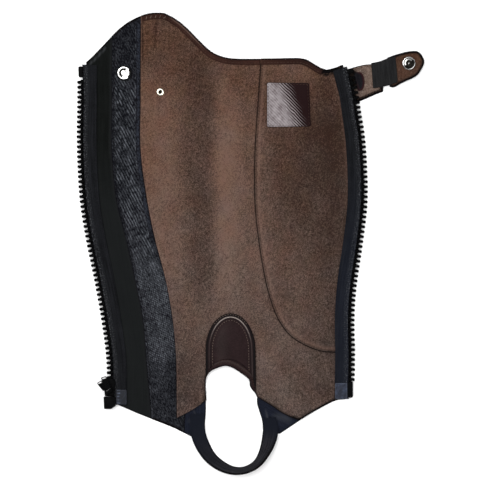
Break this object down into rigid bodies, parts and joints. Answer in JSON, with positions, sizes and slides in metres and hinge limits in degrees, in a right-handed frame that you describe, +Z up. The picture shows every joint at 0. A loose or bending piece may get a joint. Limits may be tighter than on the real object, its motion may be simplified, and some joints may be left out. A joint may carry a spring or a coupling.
{
  "type": "half chap laid open",
  "caption": "Leather half chap for riding laid open flat, suede side up, with an elastic panel, open zip, snap strap and elastic stirrup loop under the instep arch.",
  "frame": {"origin": "on the table, under the centre of the laid-open chap's bounding box", "axes": "+X across the open chap towards the snap strap, +Y up the leg towards the knee, +Z up from the table, which is out of the suede side"},
  "size_m": [0.3747, 0.499, 0.0161],
  "materials": {
    "suede": "brown suede, the flesh side of the leather, brushed nap",
    "strap_suede": "lighter brown split leather with painted edges",
    "dark_leather": "smooth very dark brown leather",
    "hem_leather": "dark brown leather turned down along the top edge",
    "facing": "plain black fine woven facing",
    "elastic": "black elastic with a puckered diagonal rib",
    "stirrup_elastic": "dark navy black flat woven elastic",
    "zip_tape": "black woven zip tape",
    "zip_plastic": "black moulded zip plastic",
    "film": "blue grey reinforcing film heat bonded to the tape",
    "label": "dark glossy bare label",
    "nickel": "bright nickel plate",
    "brass": "pale brass plate"
  },
  "bodies": {
    "chap": {"anchor_left": "stirrup_elastic", "anchor_right": "stirrup_elastic", "arch_patch": "dark_leather", "arch_rim": "dark_leather", "calf_panel": "suede", "elastic_panel": "elastic", "eyelet": "brass", "film_left": "film", "film_right": "film", "front_panel": "suede", "insertion_pin": "zip_plastic", "label": "label", "press_stud": "nickel", "retainer_box": "zip_plastic", "slider": "zip_plastic", "snap_socket": "nickel", "stirrup_band": "stirrup_elastic", "strap_base": "strap_suede", "strap_elastic": "elastic", "strap_patch": "dark_leather", "strap_tip": "strap_suede", "teeth_left": "zip_plastic", "teeth_right": "zip_plastic", "top_hem_calf": "hem_leather", "top_hem_front": "hem_leather", "top_stop_left": "zip_plastic", "top_stop_right": "zip_plastic", "zip_facing": "facing", "zip_tape_left": "zip_tape", "zip_tape_right": "zip_tape"},
    "pull_tab": {"pull_tab": "zip_plastic"}
  },
  "joints": [
    {"name": "pull_tab_hinge", "type": "hinge", "parent": "chap", "child": "pull_tab", "pos_m": [-0.1512, -0.159, 0.00965], "axis": [0.8387, 0.5446, 0], "range_deg": [0, 150]}
  ]
}
